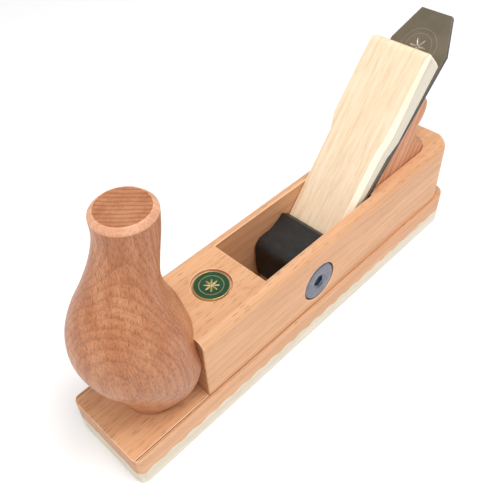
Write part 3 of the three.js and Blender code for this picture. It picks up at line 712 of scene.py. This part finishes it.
black_abutment = moulding("black_abutment", srgb(22, 22, 20), srgb(38, 36, 31))
bm = merged_copy("wedge_abutment")
soften(bm, ABUTMENT_ARRIS, segments=3)
abutment = piece_from(bm, "moulded_abutment", black_abutment)
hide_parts("wedge_abutment")
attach(abutment, "abutment")

# ---------- cross bolt and sleeve nut ----------
# Zinc-plated steel. The sleeve nut passes through both cheeks and the abutment turns on it;
# the bolt screws into it from the left, and both wide heads lie flush in their seats.
HEAD_RADIUS = 11 * MM
HEAD_THICKNESS = 3 * MM
HEAD_BEVEL = 1 * MM
DISH_RADIUS = 4.5 * MM
DISH_DEPTH = 0.9 * MM
DISH_SLOPE = 1 * MM
SOCKET_ACROSS = 6 * MM
SOCKET_DEPTH = 1.3 * MM
SHANK_RADIUS = 3 * MM
SHANK_LENGTH = 28 * MM
SLEEVE_RADIUS = 5 * MM
BORE_CLEARANCE = 0.3 * MM
BOLT_ARRIS = 0.12 * MM

zinc_steel = metal("zinc_steel", srgb(118, 126, 140), 0.3, srgb(88, 94, 106), speck=1.0)
bolt_low, bolt_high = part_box("cross_bolt")
pivot = Vector(((bolt_low.x + bolt_high.x) / 2, 0, (bolt_low.z + bolt_high.z) / 2))
seat_y = bolt_high.y - HEAD_THICKNESS


def socket():
    """The six-sided tool for the key."""
    tool = bmesh.new()
    depth = SOCKET_DEPTH + DISH_DEPTH + 1 * MM
    middle = HEAD_THICKNESS - DISH_DEPTH - SOCKET_DEPTH + depth / 2
    radius = SOCKET_ACROSS / (2 * cos(radians(30)))
    bmesh.ops.create_cone(
        tool, cap_ends=True, segments=6, radius1=radius, radius2=radius, depth=depth,
        matrix=Matrix.Translation((0, 0, middle)),
    )
    return tool


def head_face():
    """The outline of a head from its rim to the middle of its dish."""
    return [
        (HEAD_RADIUS, 0), (HEAD_RADIUS, HEAD_THICKNESS - HEAD_BEVEL),
        (HEAD_RADIUS - HEAD_BEVEL, HEAD_THICKNESS), (DISH_RADIUS, HEAD_THICKNESS),
        (DISH_RADIUS - DISH_SLOPE, HEAD_THICKNESS - DISH_DEPTH),
        (0, HEAD_THICKNESS - DISH_DEPTH),
    ]


def across_plane(bm, hand):
    """Lays a turned piece across the plane at the pivot, its head to the left or the right."""
    turn = Matrix.Rotation(-hand * pi / 2, 4, "X")
    place = Matrix.Translation((pivot.x, hand * seat_y, pivot.z)) @ turn
    bmesh.ops.transform(bm, matrix=place, verts=bm.verts)


bm = turned([(0, -SHANK_LENGTH), (SHANK_RADIUS, -SHANK_LENGTH), (SHANK_RADIUS, 0), *head_face()])
soften(bm, BOLT_ARRIS)
bm = cut(bm, socket())
across_plane(bm, 1)
cross_bolt = piece_from(bm, "zinc_cross_bolt", zinc_steel, even=False)
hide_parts("cross_bolt")
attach(cross_bolt, "stock")

barrel_end = -(2 * seat_y - BORE_CLEARANCE)
bore_radius = SHANK_RADIUS + BORE_CLEARANCE
bore_foot = -(2 * seat_y - SHANK_LENGTH - BORE_CLEARANCE)
bm = turned([
    (0, bore_foot), (bore_radius, bore_foot), (bore_radius, barrel_end), (SLEEVE_RADIUS, barrel_end),
    (SLEEVE_RADIUS, 0), *head_face(),
])
soften(bm, BOLT_ARRIS)
bm = cut(bm, socket())
across_plane(bm, -1)
sleeve_nut = piece_from(bm, "zinc_sleeve_nut", zinc_steel, even=False)
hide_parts("sleeve_nut")
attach(sleeve_nut, "stock")

# ---------- strike button ----------
# A steel button with a shank, driven into the heel. A tap on its domed face frees the wedge.
BUTTON_SHANK_RADIUS = 4 * MM
BUTTON_SHANK_LENGTH = 16 * MM
BUTTON_INLAY = 1.5 * MM
DOME_STEPS = 14

button_low, button_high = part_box("strike_button")
button_radius = (button_high.y - button_low.y) / 2
button_rise = stock_low.x - button_low.x
button_z = (button_low.z + button_high.z) / 2
profile = [
    (0, -BUTTON_SHANK_LENGTH), (BUTTON_SHANK_RADIUS, -BUTTON_SHANK_LENGTH), (BUTTON_SHANK_RADIUS, 0),
    (button_radius, 0), (button_radius, BUTTON_INLAY),
]
for k in range(1, DOME_STEPS + 1):
    turn = pi / 2 * k / DOME_STEPS
    profile.append((button_radius * max(cos(turn), 0), BUTTON_INLAY + button_rise * sin(turn)))
profile[-1] = (0, BUTTON_INLAY + button_rise)
bm = turned(profile, 64)
place = Matrix.Translation((stock_low.x + BUTTON_INLAY, 0, button_z)) @ Matrix.Rotation(-pi / 2, 4, "Y")
bmesh.ops.transform(bm, matrix=place, verts=bm.verts)
strike_button = piece_from(bm, "steel_strike_button", zinc_steel, even=False)
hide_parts("strike_button")
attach(strike_button, "stock")

# ---------- floor, light and camera ----------
# A plain pale floor, a broad soft light overhead and a little to the left, a weaker one in
# front of the toe, and an even white surround.
FLOOR_SIZE = 6.0
FLOOR_TONE = 0.96
SURROUND_STRENGTH = 0.52
LENS_LENGTH = 45.17
SENSOR_WIDTH = 36
EYE = Vector((172.23, 150.95, 276.06)) * MM
AZIMUTH = radians(135.84)
ELEVATION = radians(45.33)
ROLL = radians(-2.65)

bm = bmesh.new()
bmesh.ops.create_grid(bm, x_segments=1, y_segments=1, size=FLOOR_SIZE / 2)
floor_finish, _, floor_surface = shader("floor_paper")
floor_surface.inputs["Base Color"].default_value = (FLOOR_TONE, FLOOR_TONE, FLOOR_TONE, 1)
floor_surface.inputs["Roughness"].default_value = 0.9
floor = piece_from(bm, "floor", floor_finish, even=False)

world = bpy.data.worlds.new("studio")
world.use_nodes = True
world.node_tree.nodes["Background"].inputs["Color"].default_value = (1, 1, 1, 1)
world.node_tree.nodes["Background"].inputs["Strength"].default_value = SURROUND_STRENGTH
bpy.context.scene.world = world


def soft_light(name, place, aim, size, power):
    """A square soft box that faces the point it is aimed at."""
    lamp = bpy.data.lights.new(name, "AREA")
    lamp.size = size
    lamp.energy = power
    holder = bpy.data.objects.new(name, lamp)
    holder.location = place
    holder.rotation_euler = (Vector(place) - Vector(aim)).to_track_quat("Z", "Y").to_euler()
    bpy.context.scene.collection.objects.link(holder)


soft_light("overhead", (-0.1, 0.35, 1.2), (0, 0, 0.03), 0.7, 11.5)
soft_light("toe_side", (0.9, -0.15, 0.7), (0, 0, 0.06), 0.5, 3)

back = Vector((sin(AZIMUTH) * cos(ELEVATION), -cos(AZIMUTH) * cos(ELEVATION), sin(ELEVATION)))
level = Vector((0, 0, 1)).cross(back).normalized()
rise = back.cross(level)
right = level * cos(ROLL) + rise * sin(ROLL)
up = rise * cos(ROLL) - level * sin(ROLL)
lens = bpy.data.cameras.new("camera")
lens.sensor_width = SENSOR_WIDTH
lens.lens = LENS_LENGTH
lens.clip_start = 0.01
camera = bpy.data.objects.new("camera", lens)
camera.matrix_world = Matrix.Translation(EYE) @ Matrix((right, up, back)).transposed().to_4x4()
bpy.context.scene.collection.objects.link(camera)
bpy.context.scene.camera = camera
bpy.context.scene.view_settings.view_transform = "Standard"
